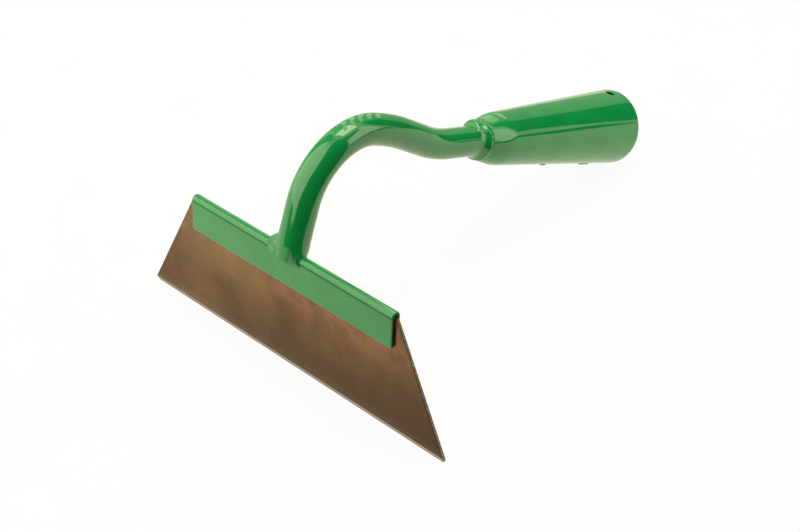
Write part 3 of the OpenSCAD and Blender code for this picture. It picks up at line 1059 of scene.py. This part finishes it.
class HOE_OT_socket_weld(bpy.types.Operator):
    """Adds the ring weld between the neck and the socket"""

    bl_idname = "hoe.socket_weld"
    bl_label = "Socket weld"

    def execute(self, context):
        hoe = context.scene.hoe
        welds, plane = hoe.welds, SidePlane(hoe)
        neck_r, end_r = hoe.neck.diameter / 2, hoe.socket.end_d / 2
        sides, steps, step = 180, 16, end_r - neck_r
        bump_size, seed, evenness = 2.2 * MM, 5.0, 0.4
        ripples = round(2 * math.pi * end_r / welds.ripple_pitch)

        def profile(*points):
            """Points at shares of the weld's length before the socket, and heights above the neck."""
            return [Vector((-share * welds.ring_l, neck_r + height)) for share, height in points]

        # The weld is hollow all around, and full at its lump
        hollow = profile((1, 0), (0.82, 0.02 * step), (0.58, 0.2 * step), (0.28, 0.95 * step))
        full = profile((1, 0), (0.9, welds.lump_h), (0.45, step + 0.3 * welds.lump_h), (0.2, step))
        skin, rows = Skin(), []
        for turn in round_turns(sides):
            lump = math.exp(-(((turn - welds.lump_turn) / welds.lump_spread) ** 2))
            corners = [a.lerp(b, lump) for a, b in zip(hollow, full)]
            wave = welds.ripple_h * math.cos(turn * ripples)
            points = []
            for t in shares(steps):
                p = curve(t, *corners)
                bumps = ripple(plane.on_socket(p.x, p.y, turn), bump_size, seed)
                swell = (wave + welds.rough_h * (evenness + lump) * bumps) * math.sin(math.pi * t)
                points.append(plane.on_socket(p.x, p.y + swell, turn))
            points.append(plane.on_socket(0, end_r, turn))
            points.append(plane.on_socket(0, neck_r, turn))
            rows.append(skin.ring(points))
        skin.stack(rows + rows[:1])
        made = weld_enamel("Ring weld enamel", hoe.finish, roughness=0.08)
        skin.piece("socket_ring_weld", "socket_weld", "painted_weld", made)
        return {"FINISHED"}


class HOE_OT_seam_tacks(bpy.types.Operator):
    """Adds the tack welds on the socket's seam"""

    bl_idname = "hoe.seam_tacks"
    bl_label = "Seam tacks"

    def execute(self, context):
        hoe = context.scene.hoe
        socket, welds, plane = hoe.socket, hoe.welds, SidePlane(hoe)
        taper = (socket.mouth_d - socket.shoulder_d) / 2 / (socket.length - socket.shoulder_l)
        sides, steps = 48, 8
        bump_size, seed = 1.8 * MM, 7.0
        depth = 0.9 * socket.sheet
        tacks = ((welds.tack_1_at, welds.tack_1_run), (welds.tack_2_at, welds.tack_2_run))

        def lay(at, run, share, height):
            """Points of a round-ended ring on the seam, at a share of the tack's width."""
            points = []
            radius = welds.tack_w / 2 * share
            for turn in round_turns(sides):
                turn += math.pi / sides
                x = at + math.copysign(run / 2, math.cos(turn)) + radius * math.cos(turn)
                y = radius * math.sin(turn)
                wall = socket.shoulder_d / 2 + taper * (x - socket.shoulder_l)
                rough = welds.rough_h * share * ripple((x, y, 0), bump_size, seed) if height > 0 else 0
                points.append(plane.on_socket(x, wall + height + rough, socket.seam_turn + y / wall))
            return points

        skin = Skin()
        for at, run in tacks:
            rows = [skin.ring(lay(at, run, 1, -depth))]
            for t in shares(steps)[:-1]:
                turn = math.pi / 2 * t
                rows.append(skin.ring(lay(at, run, math.cos(turn), welds.tack_h * math.sin(turn))))
            skin.stack(rows)
            skin.faces += [tuple(rows[0]), tuple(rows[-1])]
        made = weld_enamel("Tack enamel", hoe.finish, roughness=0.12)
        skin.piece("seam_tacks", "seam_welds", "painted_weld", made)
        return {"FINISHED"}


class HOE_OT_stage(bpy.types.Operator):
    """Sets the floor, the softboxes, the dark screens between them and the camera"""

    bl_idname = "hoe.stage"
    bl_label = "Stage"

    def execute(self, context):
        scene, studio = context.scene, context.scene.hoe.studio
        scene.view_settings.view_transform = "Standard"
        self.camera(scene, studio)
        self.room(scene, studio)
        self.floor(scene, studio)
        self.softbox("Left softbox", Span(bearing=-39, low=0, high=74, width=94), studio.left_glow)
        self.softbox("Top softbox", Span(bearing=190, low=57, high=80, width=38), studio.top_glow)
        self.softbox("Back softbox", Span(bearing=129, low=2, high=46, width=31), studio.back_glow)
        above = Span(bearing=0, low=80, high=100, width=20)
        self.softbox("Ceiling softbox", above, studio.ceiling_glow).visible_glossy = False
        self.screen("Left wing", NECK_AT, WING, distance=1.2, glow=studio.wing_glow)
        self.screen("Right screen", NECK_AT, RIGHT_SCREEN, distance=0.45, glow=0).visible_diffuse = True
        self.screen("Back screen", HEAD_AT, BACK_SCREEN, distance=1.15, glow=0)
        self.screen("Left screen", NECK_AT, self.oblong(-87, -108, -2, 80), distance=1.2, glow=0.2)
        self.screen("Dim wall", HEAD_AT, self.oblong(252, 180, -9, 50, columns=2), distance=1.25, glow=0.45)
        self.screen("Dim edge", HEAD_AT, self.oblong(192, 182, -9, 24), distance=1.2, glow=0.33)
        for i in range(5):
            bearing, height, bend = 238.4 - 6.4 * i, 69 - 12.4 * i, 0.15 + 0.08 * i
            self.bar(bearing, height, bend, studio.bar_glow)
        self.skirt(first=-33, last=10, low=0.03, high=0.1)
        self.skirt(first=95, last=150, low=0, high=0.105)
        return {"FINISHED"}

    def camera(self, scene, studio):
        """A camera at the studio's angle and distance from its target."""
        lens = bpy.data.cameras.new("Camera")
        lens.sensor_fit, lens.sensor_width = "HORIZONTAL", SENSOR_W
        lens.lens = studio.focal * SENSOR_W
        lens.clip_start, lens.clip_end = 0.01, 100
        camera = bpy.data.objects.new("Camera", lens)
        scene.collection.objects.link(camera)
        look = -towards(studio.azimuth, studio.elevation)
        turn = look.to_track_quat("-Z", "Y").to_matrix().to_4x4() @ Matrix.Rotation(studio.roll, 4, "Z")
        camera.matrix_world = Matrix.Translation(Vector(studio.target) - studio.distance * look) @ turn
        scene.camera = camera

    def room(self, scene, studio):
        """White for the eye and for reflections, and a dim fill for everything else."""
        scene.world = bpy.data.worlds.new("Studio")
        scene.world.use_nodes = True
        made = Nodes(scene.world.node_tree)
        background = made.tree.nodes["Background"]
        made.feed(background.inputs["Color"], made.mix(made.ray("Glossy"), (1, 1, 1), studio.warm))
        made.feed(background.inputs["Strength"], studio.fill + made.seen() * (1 - studio.fill))

    def floor(self, scene, studio):
        """A pale floor that keeps the object's shadow."""
        half, under_edge = studio.floor_size / 2, 0.1 * MM
        corners = [(-half, -half, 0), (half, -half, 0), (half, half, 0), (-half, half, 0)]
        mesh = bpy.data.meshes.new("Floor")
        mesh.from_pydata(corners, [], [(0, 1, 2, 3)])
        made = Finish("Floor")
        grain = made.noise(made.place(), size=40.0, detail=3.0)
        made.set(Base_Color=made.mix(grain, studio.floor, (1, 1, 1)), Roughness=1.0, Specular_IOR_Level=0.0)
        tint = made.mix(made.ray("Glossy"), (1, 1, 1), studio.warm)
        white = made.node("ShaderNodeEmission", {}, {"Color": tint, "Strength": 1.0})
        made.overlay(made.seen() * studio.white, white)
        mesh.materials.append(made.material)
        floor = bpy.data.objects.new("Floor", mesh)
        floor.location.z = -under_edge
        scene.collection.objects.link(floor)

    def softbox(self, name, span, glow):
        """A rectangular lamp of an even brightness that covers a span."""
        lamp = bpy.data.lights.new(name, "AREA")
        lamp.shape = "RECTANGLE"
        lamp.size, lamp.size_y = span.size(LAMP_DISTANCE)
        lamp.energy = math.pi * lamp.size * lamp.size_y * glow
        lamp.color = bpy.context.scene.hoe.studio.warm
        held = bpy.data.objects.new(name, lamp)
        held.matrix_world = span.stand(LAMP_DISTANCE)
        held.visible_camera = False
        bpy.context.scene.collection.objects.link(held)
        return held

    def show(self, name, points, faces, glow):
        """Something of an even brightness that only reflections show."""
        mesh = bpy.data.meshes.new(name)
        mesh.from_pydata(points, [], faces)
        made = Finish(name)
        warm = (*bpy.context.scene.hoe.studio.warm, 1)
        made.set(Base_Color=(0, 0, 0, 1), Specular_IOR_Level=0.0)
        made.set(Emission_Color=warm, Emission_Strength=glow)
        mesh.materials.append(made.material)
        held = bpy.data.objects.new(name, mesh)
        held.visible_camera = held.visible_diffuse = held.visible_shadow = False
        bpy.context.scene.collection.objects.link(held)
        return held

    def oblong(self, first, last, low, high, columns=1):
        """Corners of a screen between two bearings and two elevations."""
        bearings = [first + (last - first) * t for t in shares(columns)]
        foot = [(bearing, low) for bearing in bearings]
        return foot + [(bearing, high) for bearing in reversed(bearings)]

    def screen(self, name, centre, corners, distance, glow):
        """A screen whose corners lie at bearings and elevations, in degrees, as seen from a centre."""
        points = []
        for corner in corners:
            bearing, elevation = map(math.radians, corner)
            to_floor = centre.z / max(-math.sin(elevation), MM)
            points.append(centre + towards(bearing, elevation) * min(distance, to_floor))
        middle = sum(points, Vector()) / len(points)
        faces = [(i, (i + 1) % len(points), len(points)) for i in range(len(points))]
        return self.show(name, points + [middle], faces, glow)

    def bar(self, bearing, height, bend, glow):
        """A bar of light that rises from a bearing, bends and ends behind the head."""
        knee = Vector((bearing + bend * (BARS_END - bearing), 0.7 * height))
        spine = Vector((bearing, 0)), knee, Vector((BARS_END, height))
        across = Vector((1.8, 0)), Vector((2, 2)), Vector((0, 2.8))
        left = [a + b for a, b in zip(spine, across)]
        right = [a - b for a, b in zip(spine, across)]
        for i in (0, 1):
            corners = left[i], right[i], right[i + 1], left[i + 1]
            self.screen("Window bar", NECK_AT, corners, distance=0.5, glow=glow)

    def skirt(self, first, last, low, high):
        """A dark line between the floor and the softboxes, from one bearing to another."""
        radius, steps = 1.2, 24
        bearings = [math.radians(first + (last - first) * t) for t in shares(steps)]
        foot = [towards(bearing, 0) * radius for bearing in bearings]
        points = [point + Vector((0, 0, z)) for z in (low, high) for point in foot]
        faces = [(i, i + 1, steps + 2 + i, steps + 1 + i) for i in range(steps)]
        self.show("Skirt", points, faces, glow=0)


class HOE_PT_panel(bpy.types.Panel):
    """Lists the pieces of the draw hoe head"""

    bl_idname = "HOE_PT_panel"
    bl_label = "Draw hoe head"
    bl_space_type = "VIEW_3D"
    bl_region_type = "UI"
    bl_category = "Draw hoe"

    def draw(self, context):
        for step in STEPS:
            self.layout.operator(step.bl_idname)
        for group in ("blade", "holder", "neck", "socket", "welds", "finish", "studio"):
            box = self.layout.box()
            box.label(text=group.capitalize())
            held = getattr(context.scene.hoe, group)
            for name in type(held).__annotations__:
                box.prop(held, name)


GROUPS = (
    BladeSizes,
    HolderSizes,
    NeckSizes,
    SocketSizes,
    WeldSizes,
    FinishColours,
    StudioSettings,
    HoeHead,
)
STEPS = (
    HOE_OT_blade,
    HOE_OT_holder,
    HOE_OT_spot_welds,
    HOE_OT_neck,
    HOE_OT_foot_welds,
    HOE_OT_socket,
    HOE_OT_socket_weld,
    HOE_OT_seam_tacks,
    HOE_OT_stage,
)
CLASSES = (*GROUPS, *STEPS, HOE_PT_panel)


def register():
    for made in CLASSES:
        bpy.utils.register_class(made)
    bpy.types.Scene.hoe = PointerProperty(type=HoeHead)


def unregister():
    del bpy.types.Scene.hoe
    for made in reversed(CLASSES):
        bpy.utils.unregister_class(made)


def main():
    register()
    bpy.ops.hoe.blade()
    bpy.ops.hoe.holder()
    bpy.ops.hoe.spot_welds()
    bpy.ops.hoe.neck()
    bpy.ops.hoe.foot_welds()
    bpy.ops.hoe.socket()
    bpy.ops.hoe.socket_weld()
    bpy.ops.hoe.seam_tacks()
    bpy.ops.hoe.stage()


if __name__ == "__main__":
    main()
